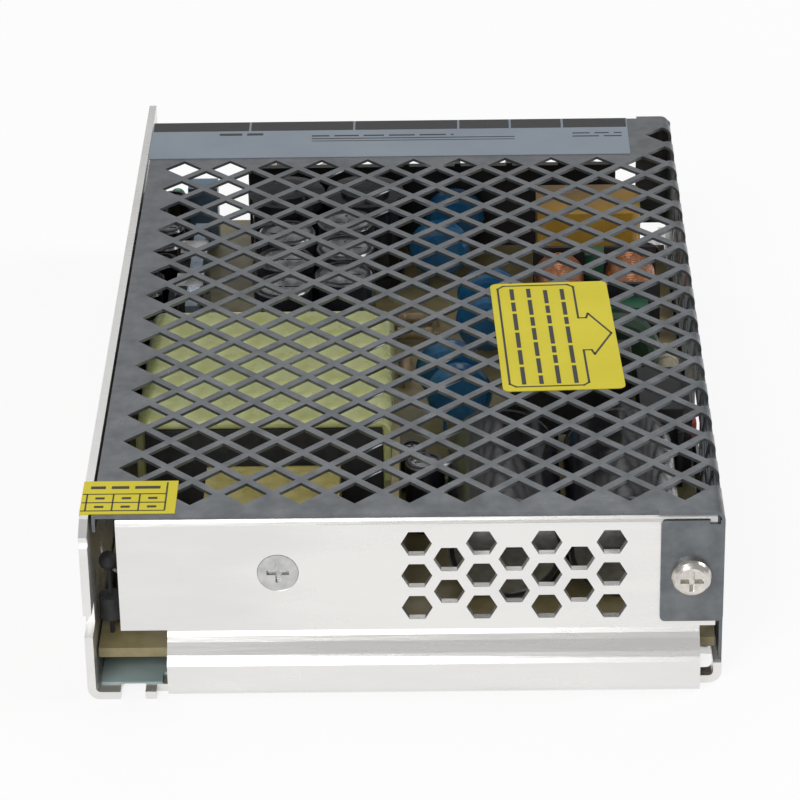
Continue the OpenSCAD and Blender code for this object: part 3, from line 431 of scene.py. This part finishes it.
def finishPrint(form, name):
    bmesh.ops.recalc_face_normals(form, faces=form.faces)
    mesh = bpy.data.meshes.new(name)
    form.to_mesh(mesh)
    form.free()
    mesh.materials.append(made["ink"])
    piece = bpy.data.objects.new(name, mesh)
    bpy.context.collection.objects.link(piece)
    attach(piece, body)


def boxInMm(node):
    low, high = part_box(node)
    return [v / mm for v in low], [v / mm for v in high]


# Print on the rating label: the terminals' dark strip in six fields, then lines.
# Each line: first X, distance from the far edge, length, width, seed.
rating = {"fields": (-29.1, -9.9, 9.3, 18.8, 28.4), "gap": 0.2, "strip": (0.05, 4.0),
          "rules": ((7.7, 8.0), (8.8, 9.0)), "ruleX": (-17.6, 19.6),
          "lines": ((-17.6, 6.6, 26, 0.5, 3), (-34.6, 5.6, 8, 0.9, 9),
                    (30.2, 6.6, 9, 0.4, 4), (30.2, 8.0, 9, 0.4, 5))}
low, high = boxInMm("rating_label")
top, far = high[2], high[1]
form = bmesh.new()
edges = [low[0], *rating["fields"], high[0]]
for left, right in zip(edges, edges[1:]):
    addBar(form, (left + rating["gap"], far - rating["strip"][1]),
           (right - rating["gap"], far - rating["strip"][0]), top)
for upper, lower in rating["rules"]:
    addBar(form, (rating["ruleX"][0], far - lower), (rating["ruleX"][1], far - upper),
           top)
for x, down, length, width, seed in rating["lines"]:
    addWords(form, (x, far - down), length, width, False, top, seed)
finishPrint(form, "ratingPrint")

# Print on the notice: a rounded frame with an arrow, and four lines of bars.
notice = {"line": 0.35, "turn": 2.4, "columns": (-6.3, -3.5, -0.7, 2.1),
          "wordStart": -17.2, "wordLength": 34.4, "wordWidth": 0.7, "seed": 20,
          "frame": [(-7.6, 18.4), (3.2, 18.4), (4.1, 17.5), (4.1, 5.8), (5.4, 5.8),
                    (5.8, 7.4), (9.1, 0.0), (5.8, -7.4), (5.4, -5.8), (4.1, -5.8),
                    (4.1, -17.1), (3.2, -18.0), (-7.6, -18.0), (-8.6, -17.0),
                    (-8.6, 17.4), (-7.6, 18.4)]}
low, high = boxInMm("notice_sticker")
top = high[2]
form = bmesh.new()
for start, end in zip(notice["frame"], notice["frame"][1:]):
    addStroke(form, start, end, notice["line"], top)
for i, x in enumerate(notice["columns"]):
    addWords(form, (x, notice["wordStart"]), notice["wordLength"], notice["wordWidth"],
             True, top, notice["seed"] + i)
middle = Vector(((low[0] + high[0]) / 2, (low[1] + high[1]) / 2, 0)) * mm
bmesh.ops.transform(form, verts=form.verts, matrix=Matrix.Translation(middle)
                    @ Matrix.Rotation(math.radians(notice["turn"]), 4, "Z"))
finishPrint(form, "noticePrint")

# Print on the seal: a grid with a short bar in each cell, and one line of bars.
seal = {"half": 0.12, "columns": (1.6, 5.6, 9.6, 13.6), "rows": (0.9, 3.4, 6.0),
        "edge": 0.5, "side": 0.1, "markX": (3.6, 7.6, 11.6), "markY": (2.1, 4.7),
        "mark": (0.7, 0.3), "wordX": 1.2, "wordDown": 2.0, "wordLength": 11.5,
        "wordWidth": 0.8, "seed": 31}
low, high = boxInMm("seal_sticker")
top, near, far = high[2], low[1], high[1]
half = seal["half"]
columns = [high[0] - x for x in seal["columns"]]
rows = [near + y for y in seal["rows"]]
form = bmesh.new()
for x in columns:
    addBar(form, (x - half, rows[0]), (x + half, rows[-1]), top)
addBar(form, (columns[0] - half, rows[-1]), (columns[0] + half, far - seal["edge"]), top)
for y in rows:
    addBar(form, (low[0] + seal["side"], y - half), (columns[0], y + half), top)
for y in seal["markY"]:
    for x in seal["markX"]:
        centre = (high[0] - x, near + y)
        addBar(form, [c - m for c, m in zip(centre, seal["mark"])],
               [c + m for c, m in zip(centre, seal["mark"])], top)
addWords(form, (low[0] + seal["wordX"], far - seal["wordDown"]), seal["wordLength"],
         seal["wordWidth"], False, top, seal["seed"])
finishPrint(form, "sealPrint")
print("labels carry their plain print")
